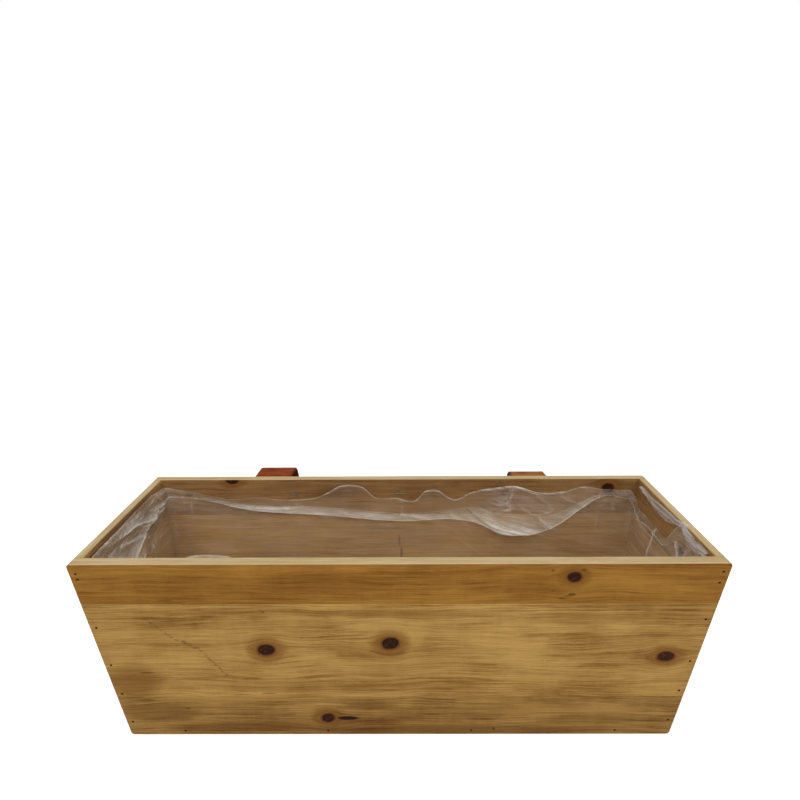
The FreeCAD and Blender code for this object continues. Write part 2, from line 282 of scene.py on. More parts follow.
# A darker or paler patch: along, depth, half length, half height, darkness (below 0 it is paler). The
# long dark ones low on the bottom board make the wall darker towards its foot.
FRONT_PATCHES = {
    "top": [(-60, 18, 80, 14, 0.4), (-180, 24, 70, 20, 0.15), (60, 34, 60, 10, -0.15),
        (132, 24, 34, 17, 0.4), (205, 22, 60, 20, -0.25), (-262, 6, 60, 5, -0.3)],
    "middle": [(-248, 132, 34, 26, 0.6), (10, 52, 110, 7, 0.45), (-160, 50, 70, 6, 0.2),
        (10, 112, 90, 14, -0.35), (190, 58, 100, 10, 0.3), (-80, 140, 150, 9, 0.3),
        (-210, 76, 70, 12, -0.3), (110, 96, 60, 16, -0.3)],
    "bottom": [(-170, 154, 80, 6, -0.45), (-230, 172, 50, 14, 0.5), (-150, 192, 90, 9, 0.6),
        (70, 196, 210, 8, 0.6), (-20, 163, 30, 7, 0.45), (150, 168, 140, 9, -0.3),
        (200, 184, 70, 7, 0.4)],
}

# (paler, darker) wood of each board, outside and inside the box. The inside colours are painted light
# and shade: a greyer copy set to how the inner faces look in the box's shade.
LOOKS = {
    "top": (srgb(174, 126, 54), srgb(112, 68, 16)),
    "middle": (srgb(202, 162, 92), srgb(120, 80, 28)),
    "bottom": (srgb(186, 146, 80), srgb(100, 62, 20)),
    "floor": (srgb(186, 156, 108), srgb(142, 108, 66)),
}
INSIDE_SHADE_LOOKS = {
    "top": (srgb(164, 124, 76), srgb(108, 74, 44)),
    "middle": (srgb(188, 146, 87), srgb(142, 102, 55)),
    "bottom": (srgb(186, 144, 86), srgb(140, 100, 54)),
    "floor": (srgb(190, 160, 112), srgb(146, 112, 70)),
}
# Painted light: the faces that look up along the rim are paler, as the light from above falls on them.
LIT_RIM_COLOURS = (srgb(204, 184, 142), srgb(164, 134, 88))
# Partly wear, partly painted highlight: pale bands along the rounded outer edge under the rim, and along
# each board's top edge at a seam.
WORN_AND_LIT_EDGE = srgb(226, 200, 156)
WORN_AND_LIT_SEAM_EDGE = srgb(196, 160, 98)
# Also the colour of the small marks and of the painted shadow under the left rim.
KNOT_CORE_AND_SHADOW = srgb(30, 8, 0)
KNOT_HEART = srgb(88, 46, 20)
KNOT_RING = srgb(96, 56, 26)
KNOT_HALO = srgb(120, 74, 22)
END_GRAIN = srgb(112, 78, 42)

# Noise in the wood: one blob's length along the grain, height and depth, then detail and roughness
WOOD_NOISE = {
    "sway": (150, 60, 80, 2, 0.5),
    "streaks": (190, 5.0, 9.0, 6, 0.74),
    "fibres": (55, 1.7, 1.5, 4, 0.72),
    "stain": (75, 42, 40, 4, 0.6),
    "flecks": (5.0, 1.6, 5.0, 3, 0.6),
    "ripple": (6.5, 120, 50, 2, 0.6),
    "broad": (260, 26, 30, 3, 0.5),
}
# Where fibres, stain, broad, ripple and flecks begin and are full, and how much they darken the wood
DARKENING = [(0.36, 0.66, 0.38), (0.28, 0.75, 0.20), (0.36, 0.64, 0.22), (0.3, 0.7, 0.04),
             (0.62, 0.74, 0.26)]
streak_share = 0.12  # how much a streak darkens, and how much more in a stain
stained_streak_share = 0.26
grain_sway = 16.0  # how far the grain wanders up and down
ring_height = 6.2  # from one year ring to the next, up the wall and through the board
ring_depth = 23
ring_waver = 1.8
ring_sharpness = 5.0
ring_share = 0.22
pith_depth = 46.0  # from the outer face to the rings' middle, as an end shows them
end_ring_spacing = 2.3
wood_roughness = 0.62
wood_specular = 0.09
wood_relief = 0.2

# Where a knot's halo, ring and core begin and are full, in squared distances with the core's edge at
# 1, and how strong they are
KNOT_PARTS = [(9.0, 1.2, 0.72), (1.9, 1.05, 0.8), (1.12, 0.8, 0.97)]
outer_ring_share = 0.16
knot_berth = 1.35  # how near the grain comes to a knot, in half heights of it


def spot(along, up, place):
    """1 in the middle of an elliptical place (along, depth, half length, half height), 0 outside it."""
    return squared_distance(along, up, place).rise(1.0, 0.15)


def squared_distance(along, up, place):
    x = (along - place[0]) / place[2]
    y = (up + place[1]) / place[3]
    return x * x + y * y


def round_the_knots(along, up, knots):
    """The height up the wall, with the grain led round each knot as water goes round a stone."""
    line = up
    for centre, depth, length, height, _ in knots:
        x = (along - centre) * (height / length)
        y = up + depth
        reach = (height * knot_berth) ** 2
        share = (x * x + y * y).at_least(reach).power(-1.0) * reach
        line = line - y * share
    return line


def knotted(colour, along, up, knots, wobble, flecks):
    """The colour with dark cores, reddish rings and wide halos at the knots."""
    for *place, strength in knots:
        near = squared_distance(along + wobble * 9.0, up + wobble * 5.0, place)
        halo, ring, core = (near.rise(begins, full) * (share * strength)
                            for begins, full, share in KNOT_PARTS)
        outer_ring = near.rise(3.2, 4.2) * near.rise(6.4, 4.6) * wobble.rise(-0.03, 0.05)
        heart = flecks.rise(0.50, 0.68) * near.rise(0.8, 0.2) * 0.8
        colour = blended(halo, colour, KNOT_HALO)
        colour = blended(outer_ring * (outer_ring_share * strength), colour, KNOT_RING)
        colour = blended(ring, colour, KNOT_RING)
        colour = blended(core, colour, blended(heart, KNOT_CORE_AND_SHADOW, KNOT_HEART))
    return colour


def wood(name, side, board, seed, knots=(), marks_and_shadow=(), patches=()):
    """A stained softwood board, whose grain runs along its wall."""
    material, tree, shader = new_material(name)
    along, up, out = in_wall(tree, side, "Object")
    facing_along, facing_up, facing_out = in_wall(tree, side, "Normal")

    def grain(kind, height, seeded):
        """A kind of noise, at a height or a line of the grain, seeded along (0) or up (1) the wall."""
        *sizes, detail, roughness = WOOD_NOISE[kind]
        place = [part / size for part, size in zip((along, height, out), sizes)]
        place[seeded] += seed
        return cloud(*place, detail=detail, roughness=roughness)

    sway = grain("sway", up, 0)
    line = round_the_knots(along, up, knots) + sway * grain_sway
    streaks = grain("streaks", line, 0)
    fibres = grain("fibres", line, 1)
    stain = grain("stain", up, 1)
    flecks = grain("flecks", up, 1)
    ripple = grain("ripple", up, 1)
    broad = grain("broad", line, 0)
    rings = (line / ring_height + out / ring_depth + streaks * ring_waver + seed).fraction()
    rings = rings.power(ring_sharpness) * stain.rise(0.32, 0.62)

    streak_strength = stain.rise(0.3, 0.65) * stained_streak_share + streak_share
    darkness = streaks.rise(0.36, 0.68) * streak_strength + rings * ring_share
    for kind, (begins, full, share) in zip((fibres, stain, broad, ripple, flecks), DARKENING):
        darkness += kind.rise(begins, full) * share
    darkness = darkness.at_most(1.0)
    # Painted light and shade: the inner faces take the inside colours.
    inside = facing_out.rise(-0.6, -0.9)
    colour = blended(inside, blended(darkness, *LOOKS[board]), blended(darkness, *INSIDE_SHADE_LOOKS[board]))

    light, dark = LOOKS[board]
    for *place, strength in patches:
        shade = spot(along + sway * 20.0, up + stain * 8.0, place)
        colour = blended(shade * abs(strength), colour, dark if strength > 0 else light)
    colour = knotted(colour, along, up, knots, flecks * 0.5 + stain * 0.5 - 0.5, flecks)
    # The marks, and the painted shadow under the left wall's rim, are on the front's outer face and on
    # the inner faces of the other walls.
    marked = facing_out.rise(0.2, 0.6) if side == "front" else facing_out.rise(-0.2, -0.6)
    for *place, strength in marks_and_shadow:
        near = spot(along + flecks * 2.0, up + flecks * 0.8, place)
        colour = blended(near * marked * strength, colour, KNOT_CORE_AND_SHADOW)
    if side == "front" and board == "middle":
        scratched = scratch(along, up, flecks) * marked
        colour = blended(scratched * scratch_share, colour, KNOT_RING)

    from_pith = (up * up + (out + pith_depth).power(2.0)).power(0.5)
    end_rings = (from_pith / end_ring_spacing + sway * 2.0).fraction()
    end_colour = blended(end_rings * 0.45 + fibres * 0.3, light, END_GRAIN)
    colour = blended(facing_along.size().rise(0.6, 0.85), colour, end_colour)
    if board == "top":
        # Painted light: the rim's upward faces take the paler rim colours.
        lit_rim_share = streaks.rise(0.25, 0.75) * 0.6 + fibres.rise(0.3, 0.7) * 0.4
        rim = blended(lit_rim_share.at_most(1.0), *LIT_RIM_COLOURS)
        colour = blended(facing_up.rise(0.72, 0.95), colour, rim)
        # Partly wear, partly a painted highlight along the rim's rounded outer edge.
        worn_and_lit = up.rise(-1.7, -0.3) * facing_out.rise(0.2, 0.5) * stain.rise(0.15, 0.5)
        colour = blended(worn_and_lit * 0.7, colour, WORN_AND_LIT_EDGE)
    else:
        # Partly wear, partly a painted highlight along the board's top edge at the seam.
        edge_depth = seam_depths[board][0] if board in seam_depths else 0.0
        worn_and_lit = (up + edge_depth).rise(-1.3, -0.3) * stain.rise(0.45, 0.6) * facing_out.rise(0.2, 0.6)
        colour = blended(worn_and_lit * 0.35, colour, WORN_AND_LIT_SEAM_EDGE)

    plug(shader, {"Base Color": colour, "Specular IOR Level": wood_specular,
                  "Roughness": darkness * -0.08 + fibres * 0.12 + wood_roughness})
    bumped(shader, fibres * 0.6 + streaks * 0.9 - rings * 0.35 + ripple * 0.3, wood_relief)
    return material


SCRATCH_POINTS = [(-238, 60), (-213, 84), (-190, 97), (-166, 130)]  # along, depth
scratch_waver = 3.0
scratch_share = 0.5


def scratch(along, up, flecks):
    """A long broken scratch across the front, as a thin band beside each of its straight runs."""
    band = flecks * 0.0
    for (x0, d0), (x1, d1) in zip(SCRATCH_POINTS, SCRATCH_POINTS[1:]):
        length = math.hypot(x1 - x0, d1 - d0)
        level, fall = (x1 - x0) / length, (d1 - d0) / length
        run = (along - x0) * level - (up + d0) * fall
        off = (along - x0) * fall + (up + d0) * level + flecks * scratch_waver - scratch_waver / 2
        within = run.rise(-1.0, 1.0) * run.rise(length + 1.0, length - 1.0)
        band = band.at_least(off.size().rise(2.2, 0.5) * within)
    return band * flecks.rise(0.44, 0.56)


first_seed = 3.7  # of the boards' noise
seed_step = 7.31


def dress(node_name, material):
    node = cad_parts[node_name]
    node.data.materials.clear()
    node.data.materials.append(material)


def dress_boards():
    details = {
        "front": (FRONT_KNOTS, FRONT_MARKS, FRONT_PATCHES),
        "back": (BACK_KNOTS, INNER_BACK_MARKS, {}),
        "left": (END_KNOTS["left"], INNER_LEFT_SHADOW, {}),
        "right": (END_KNOTS["right"], {}, {}),
    }
    seed = first_seed
    for side, (knots, marks_and_shadow, patches) in details.items():
        for board in seam_depths:
            seed += seed_step
            material = wood(f"wood_{side}_{board}", side, board, seed,
                            knots.get(board, ()), marks_and_shadow.get(board, ()), patches.get(board, ()))
            dress(f"{side}_board_{board}", material)
    for side in ("front", "back"):
        seed += seed_step
        dress(f"floor_board_{side}", wood(f"wood_floor_{side}", "floor", "floor", seed))


# ================ metal

metal_relief = 0.04


def metal(name, colour, tarnish, roughness, spread=6.0, seed=0.0):
    """Worked metal with fine scratches and with tarnish in blots about as wide as the spread."""
    material, tree, shader = new_material(name)
    _, (x, y, z) = place_in_part(tree)
    patina = cloud(x / spread + seed, y / spread, z / spread, detail=5, roughness=0.65)
    scratches = cloud(x / 0.35, y / 3.0, z / 0.5 + seed, detail=2)
    share = patina.rise(0.42, 0.7)
    plug(shader, {"Base Color": blended(share, colour, tarnish), "Metallic": 1.0,
                  "Roughness": share * 0.22 + scratches * 0.12 + roughness})
    bumped(shader, scratches * 0.6 + patina * 0.4, metal_relief)
    return material


def dress_metal():
    brads = metal("brad_steel", srgb(56, 38, 22), srgb(26, 16, 8), 0.6)
    staples = metal("staple_steel", srgb(188, 188, 186), srgb(132, 130, 126), 0.25, 3.0, 4.0)
    brass = metal("strap_brass", srgb(204, 166, 94), srgb(172, 132, 70), 0.30, 7.0, 9.0)
    for node_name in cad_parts:
        if "_nails_" in node_name:
            dress(node_name, brads)
        elif "staples" in node_name:
            dress(node_name, staples)
        elif node_name.endswith(("_screws", "_washers")):
            dress(node_name, brass)


# ================ meshes

def add_mesh(name, points, faces, material):
    """A smooth-shaded mesh from points in millimetres."""
    mesh = bpy.data.meshes.new(name)
    mesh.from_pydata([Vector(p) * MM for p in points], [], faces)
    mesh.materials.append(material)
    for polygon in mesh.polygons:
        polygon.use_smooth = True
    piece = bpy.data.objects.new(name, mesh)
    bpy.context.scene.collection.objects.link(piece)
    return piece


def follow(points, x):
    """The height at x of a smooth line through given points (x, height)."""
    i = bisect.bisect([p[0] for p in points], x) - 1
    i = min(max(i, 0), len(points) - 2)
    before, start, end, after = (points[min(max(i + k, 0), len(points) - 1)] for k in (-1, 0, 1, 2))
    span = end[0] - start[0]
    t = min(max((x - start[0]) / span, 0.0), 1.0)
    leave = (end[1] - before[1]) / (end[0] - before[0]) * span
    arrive = (after[1] - start[1]) / (after[0] - start[0]) * span
    return ((2 * t ** 3 - 3 * t ** 2 + 1) * start[1] + (t ** 3 - 2 * t ** 2 + t) * leave
            + (3 * t ** 2 - 2 * t ** 3) * end[1] + (t ** 3 - t ** 2) * arrive)


def eased(low, high, x):
    t = min(max((x - low) / (high - low), 0.0), 1.0)
    return t * t * (3 - 2 * t)


# ================ film liner

# Along each wall (x on the long walls, y on the ends): the film's cut edge, the lower edge of its
# drooping fold, the fold's height and how far it stands off the wall, all from the object.
CUT_EDGES = {
    "back": [(-290, 9), (-262, 14), (-215, 23), (-180, 21), (-150, 24), (-108, 22), (-90, 15), (-74, 7),
        (-48, 8), (-30, 22), (-7, 22), (8, 25), (20, 25), (32, 14), (48, 13), (62, 22), (72, 24),
        (92, 15), (120, 10), (145, 8), (175, 16), (205, 15), (230, 9), (256, 12), (290, 13)],
    "front": [(-290, 10), (-240, 12), (-210, 4), (-195, -0.8), (-164, -0.4), (-150, 5), (-20, 13),
        (60, 9), (140, 14), (220, 8), (290, 12)],
    "left": [(-110, 4), (-70, 3), (-39, 4), (0, 3), (30, 4), (60, 3), (85, 6), (110, 8)],
    "right": [(-110, 3), (-60, 1.5), (-36, -1.5), (-24, 9), (-6, 28), (29, 27), (60, 27), (85, 28),
        (110, 16)],
}
FOLDS = {
    "back": [(-290, 20), (-284.7, 20.9), (-244.5, 23.5), (-208, 32.3), (-171.6, 37.4), (-122.8, 40),
        (-86, 42.5), (-1, 49), (60, 46.7), (88, 48.5), (102, 52), (113, 56.5), (127, 63), (138, 64.6),
        (148, 65), (176, 62.8), (206, 51.5), (230, 34.5), (257, 20), (290, 24)],
    "front": [(-290, 22), (-200, 34), (-100, 30), (0, 40), (110, 33), (200, 38), (290, 24)],
    "left": [(-110, 50), (-64, 46), (-20, 37), (16, 30), (40, 27), (60, 24), (90, 22), (110, 21)],
    "right": [(-110, 20), (-60, 30), (-36, 20), (-6, 36), (29, 35), (60, 36), (90, 36), (110, 26)],
}
FOLD_HEIGHTS = {
    "back": [(-290, 1), (-244, 2.5), (-190, 5), (-122, 8), (0, 8), (60, 9), (110, 18), (150, 20),
        (176, 16), (206, 12), (230, 7), (257, 2), (290, 1)],
    "front": [(-290, 1), (-160, 5), (0, 7), (160, 5), (290, 1)],
    "left": [(-110, 4), (-60, 7), (0, 6), (60, 4), (110, 1)],
    "right": [(-110, 0.6), (-60, 1.5), (0, 0.6), (110, 0.6)],
}
FOLD_LIFTS = {
    "back": [(-290, 1.5), (-244, 2.5), (-190, 4), (-60, 5), (60, 5.5), (110, 9), (150, 12), (176, 11),
        (206, 8), (230, 5), (257, 2.5), (290, 1.5)],
    "front": [(-290, 1.5), (-100, 5), (0, 6), (100, 5), (290, 1.5)],
    "left": [(-110, 3), (-60, 7), (0, 6), (60, 5), (110, 2)],
    "right": [(-110, 2), (-60, 4), (0, 2), (60, 2), (110, 1.5)],
}
# How whitish the flap above the fold is, partly its bloom and partly painted sheen, and the fold itself
FLAP_BLOOM_AND_SHEEN = {
    "back": [(-290, 0.7), (-262, 0.4), (-230, 0.15), (80, 0.15), (130, 0.5), (190, 0.5), (230, 0.3),
        (290, 0.6)],
    "front": [(-290, 0.4), (290, 0.4)],
    "left": [(-110, 1), (0, 1.1), (110, 0.8)],
    "right": [(-110, 0.9), (-50, 0.7), (0, 0.3), (60, 0.2), (110, 0.5)],
}
# Partly the doubled film's bloom, partly painted highlight: how brightly the fold's whitish band shines
# along each wall.
FOLD_BLOOM_AND_HIGHLIGHT = {
    "back": [(-290, 0.6), (-262, 1), (-230, 2.2), (-190, 2.6), (-122, 2.2), (-60, 1.5), (0, 1.3),
        (70, 1), (100, 1.2), (118, 2.6), (148, 3), (170, 1.8), (190, 0.9), (215, 1.2), (240, 1.5),
        (290, 0.4)],
    "front": [(-290, 0.8), (290, 0.8)],
    "left": [(-110, 1.4), (0, 1.6), (110, 0.9)],
    "right": [(-110, 0.8), (110, 0.6)],
}
# Partly the curled cut edge's bloom, partly a painted highlight along it.
cut_edge_bloom_and_highlight = 3.6
# Partly the film's bloom, partly painted sheen on the film down the walls, halved towards the foot.
wall_bloom_and_sheen = 0.4
# How far creases along a wall, and creases down it, stand out
LEVEL_CREASES = {
    "back": [(-290, 0.8), (-200, 0.7), (0, 1), (90, 1.2), (130, 2.2), (180, 2.4), (220, 1.4),
        (290, 0.8)],
    "front": [(-290, 1), (0, 1.2), (290, 1)],
    "left": [(-110, 4.5), (0, 5), (110, 2)],
    "right": [(-110, 2), (0, 1), (110, 0.8)],
}
UPRIGHT_CREASES = {
    "back": [(-290, 0.9), (-240, 0.2), (0, 0.2), (90, 0.2), (150, 0.5), (210, 0.3), (290, 1.2)],
    "front": [(-290, 1), (0, 0.6), (290, 1)],
    "left": [(-110, 1.6), (0, 1.6), (110, 0.6)],
    "right": [(-110, 1.4), (-40, 1.8), (40, 3), (110, 1.4)],
}
film_spacing = 2.0  # between the mesh's columns
film_corner_columns = 12
film_flap_rows = 26
film_turn_rows = 5
film_wall_rows = 64
film_foot_rows = 6
film_floor_rows = 16

fold_radius = 1.1  # of the turn at the fold's foot
fold_room = 6  # from the cut edge to the fold's foot, at least
flap_lift = 0.2  # of the flap's top, before it curls out at its cut edge
curl_lift = 1.1
curl_part = 0.09  # the part of the flap that curls
LEVEL_CREASE_SIZE = (64, 96, 20)
UPRIGHT_CREASE_SIZE = (24, 24, 230)
crease_slant = 0.3
ridge_steepness = 2.4
swell_size = 60
floor_crease_size = 34
floor_crease_height = 1.6
floor_swell_height = 1.5
staple_pull = 34  # how far round a staple the film is drawn together
staple_pleats = 9
pleat_height = 0.8
least_lift = 0.15


def film_columns():
    """Places round the film, anticlockwise from above: a wall and a share of its half length from -1
    to 1, or the corner after a wall and a share of its turn from 0 to 1."""
    columns = []
    for side in WALLS:
        count = round(2 * WALLS[side][2] / film_spacing)
        columns += [("wall", side, -1 + 2 * i / count) for i in range(count + 1)]
        columns += [("corner", side, i / film_corner_columns) for i in range(1, film_corner_columns)]
    return columns


def film_base(column, depth):
    """(point, direction into the box) of the flat film, at a depth down the slope."""
    kind, side, share = column
    inset = level_thickness + film_gap / math.cos(lean) + depth * math.sin(lean)
    half_x = rim_length / 2 - inset - film_corner_radius
    half_y = rim_depth / 2 - inset - film_corner_radius
    angle = math.radians(WALLS[side][0])
    turned = Matrix.Rotation(angle, 3, "Z")
    half_along, half_reach = (half_x, half_y) if side in ("front", "back") else (half_y, half_x)
    if kind == "wall":
        level = Vector((share * half_along, -half_reach, 0))
        outwards = Vector((0, -1, 0))
    else:
        level = Vector((half_along, -half_reach, 0))
        outwards = Matrix.Rotation(share * math.pi / 2, 3, "Z") @ Vector((0, -1, 0))
    point = turned @ (level + outwards * film_corner_radius)
    point.z = box_height - depth * math.cos(lean)
    inwards = turned @ outwards * -math.cos(lean)
    inwards.z = math.sin(lean)
    return point, inwards


def along_wall(side, share):
    """The coordinate that the listed lines use: x on the long walls and y on the ends."""
    half = WALLS[side][2] - (level_thickness if side in ("front", "back") else 0)
    sign = 1 if side in ("front", "right") else -1
    return sign * share * half


NEXT_WALL = {"front": "right", "right": "back", "back": "left", "left": "front"}


def film_value(lines, column):
    """A listed line's height at a column. In a corner it goes from one wall's to the next's."""
    kind, side, share = column
    if kind == "wall":
        return follow(lines[side], along_wall(side, share))
    start = follow(lines[side], along_wall(side, 1))
    other = NEXT_WALL[side]
    end = follow(lines[other], along_wall(other, -1))
    return start + (end - start) * eased(0, 1, share)


def ridges(place, seed):
    """Sharp creases between flat facets, from 0 to 1."""
    return 1 - min(abs(noise.noise(place + Vector((seed, seed * 0.7, -seed)))) * ridge_steepness, 1.0)


def staple_points():
    points = []
    for side, (turn, reach, half) in WALLS.items():
        is_long = side in ("front", "back")
        count = long_wall_staples if is_long else end_wall_staples
        end = half - staple_end_inset + (0 if is_long else level_thickness)
        for i in range(count):
            along = -end + 2 * end * i / (count - 1)
            inset = level_thickness + staple_drop * math.sin(lean)
            place = Vector((along, inset - reach, box_height - staple_drop * math.cos(lean)))
            points.append(Matrix.Rotation(math.radians(turn), 3, "Z") @ place)
    return points


def pulled(point, staples, lift):
    """The film's lift, pressed to the wood at a staple and gathered into pleats round it."""
    for staple in staples:
        away = point - staple
        distance = away.length
        if distance < staple_pull:
            sideways = math.hypot(away.x, away.y) * (1 if away.x + away.y > 0 else -1)
            angle = math.atan2(sideways, -away.z)
            wave = math.cos(angle * staple_pleats + noise.noise(staple * 0.13) * 6)
            pleat = (0.5 + 0.5 * wave) * pleat_height
            lift += pleat * eased(2, 12, distance) * (1 - eased(14, staple_pull, distance))
            lift *= eased(1.5, 9, distance)
    return lift


def film_turn(depth, lift, radius, bloom_and_sheen):
    """The rows of a half turn to the wall, round a fold's foot, or its top with a radius below 0."""
    angles = [math.pi * i / film_turn_rows for i in range(film_turn_rows)]
    return [(depth + radius * math.sin(angle), lift - abs(radius) * (1 - math.cos(angle)), 1.0, bloom_and_sheen)
            for angle in angles]


def film_section(column):
    """The film's (depth, lift, freedom, bloom and sheen) from its cut edge, down the fold, up behind it
    and down to the foot. The freedom is how much it may crease. The bloom and sheen is how whitish it
    is, partly the film's bloom and partly painted sheen and highlight, most of all where the fold lies
    over the film behind it; below 0 its creases don't show."""
    cut = film_value(CUT_EDGES, column)
    fold = max(film_value(FOLDS, column), cut + fold_room)
    height = min(film_value(FOLD_HEIGHTS, column), fold - cut - fold_room / 2)
    lift = film_value(FOLD_LIFTS, column)
    outer_radius = min(fold_radius, lift / 4)
    behind = lift - 2 * outer_radius
    inner_radius = behind / 3
    # Partly bloom where the film lies doubled, partly a painted highlight along the fold.
    fold_bloom_and_highlight = eased(1, 8, height) * film_value(FOLD_BLOOM_AND_HIGHLIGHT, column)
    flap_bloom_and_sheen = film_value(FLAP_BLOOM_AND_SHEEN, column) * 0.6
    rows = []
    for i in range(film_flap_rows):
        t = i / film_flap_rows
        depth = cut + (fold - cut) * t
        bloom_and_sheen = max(fold_bloom_and_highlight * eased(fold - height - 2, fold, depth), flap_bloom_and_sheen)
        curl = 1 - eased(0, curl_part, t)
        stand_off = flap_lift + (lift - flap_lift) * eased(0, 1, t) ** 1.4 + curl * curl_lift
        rows.append((depth, stand_off, eased(-0.1, 0.4, t), max(bloom_and_sheen, curl * cut_edge_bloom_and_highlight)))
    rows += film_turn(fold, lift, outer_radius, fold_bloom_and_highlight)
    for i in range(film_turn_rows):
        rows.append((fold - height * i / film_turn_rows, behind, 1.0, fold_bloom_and_highlight * 0.4))
    rows += film_turn(fold - height, behind, -inner_radius, -1.0)
    foot = slope_length - (floor_thickness + film_gap + film_corner_radius) / math.cos(lean)
    start = fold - height
    low = behind - 2 * inner_radius
    for i in range(film_wall_rows):
        t = (i / film_wall_rows) ** 1.15
        depth = start + (foot - start) * t
        rows.append((depth, low * (1 - t), 1.0, wall_bloom_and_sheen * (1 - 0.5 * t)))
    rows.append((foot, 0.0, 1.0, wall_bloom_and_sheen * 0.5))
    return rows


def film_point(column, depth, lift, freedom, staples):
    """A point of the film, off the flat film by its lift and by its creases."""
    base, inwards = film_base(column, depth)
    level = film_value(LEVEL_CREASES, column) * (1 - eased(45, 90, depth) * 0.9)
    upright = film_value(UPRIGHT_CREASES, column) * (1 - eased(110, 180, depth) * 0.8)
    slanted = Vector((base.x, base.y, base.z + base.x * crease_slant))
    long_way = Vector(a / size for a, size in zip(slanted, LEVEL_CREASE_SIZE))
    down_way = Vector(a / size for a, size in zip(base, UPRIGHT_CREASE_SIZE))
    creases = (ridges(long_way, 3.1) ** 2 + ridges(long_way * 1.9, 8.4) ** 3 * 0.3) * level
    creases += ridges(down_way, 5.5) ** 3 * upright
    swell = max(noise.noise(base / swell_size) + 0.3, 0) * 0.8
    total = lift + (creases + swell * (level + upright)) * freedom
    return base + inwards * max(pulled(base, staples, total), least_lift)


def film_floor(foot_point, foot_inwards):
    """The round foot, and the film from there to the middle of the floor."""
    radius = film_corner_radius
    ground = floor_thickness + film_gap
    level = Vector((foot_inwards.x, foot_inwards.y, 0)).normalized()
    points = []
    for i in range(1, film_foot_rows + 1):
        angle = lean + (math.pi / 2 - lean) * i / film_foot_rows
        across = radius * (math.cos(lean) - math.cos(angle))
        down = radius * (math.sin(angle) - math.sin(lean))
        point = foot_point + level * across
        point.z = foot_point.z - down
        points.append(point)
    points[-1].z = max(points[-1].z, ground)
    edge = points[-1]
    half_x = rim_length / 2 - level_thickness - box_height * slope_run
    half_y = rim_depth / 2 - level_thickness - box_height * slope_run
    spine = Vector((min(max(edge.x, half_y - half_x), half_x - half_y), 0, ground))
    for i in range(1, film_floor_rows + 1):
        t = i / film_floor_rows
        point = edge.lerp(spine, t)
        wrinkle = (ridges(point / floor_crease_size, 1.7) ** 3 * floor_crease_height
                   + max(noise.noise(point / swell_size), 0) * floor_swell_height)
        point.z = ground + wrinkle * eased(0, 0.15, t)
        points.append(point)
    return points


FILM_COLOUR = srgb(246, 240, 226)
film_roughness = 0.16
film_specular = 0.9
film_relief = 0.5
least_alpha = 0.02
most_alpha = 0.85
crease_alpha = 0.36  # what creases, dust and a slanting view add to the least
dust_alpha = 0.05
grazing_alpha = 0.26


def film_material():
    """Clear polyethylene. It shows a painted sheen where it turns from the eye, a bloom in creases, and
    the stored bloom and sheen: whitish film, partly its bloom and partly painted sheen and highlight.
    """
    material, tree, shader = new_material("clear_film")
    bend = stored(tree, "crease")
    bloom_and_sheen = stored(tree, "bloom_and_sheen")
    _, (x, y, z) = place_in_part(tree)
    dust = cloud(x / 38, y / 38, z / 24, detail=4, roughness=0.6)
    ripples = cloud(x / 7, y / 7, z / 16, detail=3, roughness=0.6, distortion=0.8)
    edge = tree.nodes.new("ShaderNodeLayerWeight")
    plug(edge, {"Blend": 0.35})
    grazing = Field(edge.outputs["Facing"]).power(3.0)
    # Painted highlight streaks in the whitish film, slanted where x is past 50 mm.
    slant = x.rise(50.0, 110.0) * x * 0.28
    streaks = cloud(x / 50, y / 50, (z + slant) / 3.6, detail=4, roughness=0.66)
    whitish_bloom_and_sheen = bloom_and_sheen.at_least(0.0) * (streaks.rise(0.38, 0.68) * 0.22 + 0.10)
    creased = bend.rise(0.06, 0.6) * (bloom_and_sheen + 1.0).at_most(1.0)
    alpha = (creased * crease_alpha + dust.rise(0.35, 0.8) * dust_alpha + grazing * grazing_alpha
             + whitish_bloom_and_sheen + least_alpha)
    plug(shader, {"Base Color": FILM_COLOUR, "Roughness": film_roughness,
                  "Specular IOR Level": film_specular, "Alpha": alpha.at_most(most_alpha)})
    bumped(shader, ripples, film_relief)
    return material


def store(mesh, name, values):
    mesh.attributes.new(name, "FLOAT", "POINT").data.foreach_set("value", values)


def mark_creases(mesh):
    """Stores at each point how sharply the film bends there."""
    work = bmesh.new()
    work.from_mesh(mesh)
    bends = []
    for point in work.verts:
        angles = [edge.calc_face_angle(0.0) for edge in point.link_edges]
        bends.append(sum(angles) / len(angles))
    work.free()
    store(mesh, "crease", bends)


def add_film():
    columns = film_columns()
    staples = staple_points()
    points = []
    blooms_and_sheen = []
    for column in columns:
        section = film_section(column)
        points += [film_point(column, *place, staples) for *place, _ in section]
        _, inwards = film_base(column, section[-1][0])
        floor = film_floor(points[-1], inwards)
        points += floor
        blooms_and_sheen += [row[-1] for row in section] + [wall_bloom_and_sheen * 0.5] * len(floor)
    rows = len(points) // len(columns)
    faces = []
    for i in range(len(columns)):
        j = (i + 1) % len(columns)
        for k in range(rows - 1):
            faces.append((i * rows + k, j * rows + k, j * rows + k + 1, i * rows + k + 1))
    film = add_mesh("film_liner_sheet", points, faces, film_material())
    store(film.data, "bloom_and_sheen", blooms_and_sheen)
    work = bmesh.new()
    work.from_mesh(film.data)
    bmesh.ops.remove_doubles(work, verts=work.verts, dist=0.05 * MM)
    work.to_mesh(film.data)
    work.free()
    mark_creases(film.data)
    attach(film, "box")
    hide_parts("film_liner")


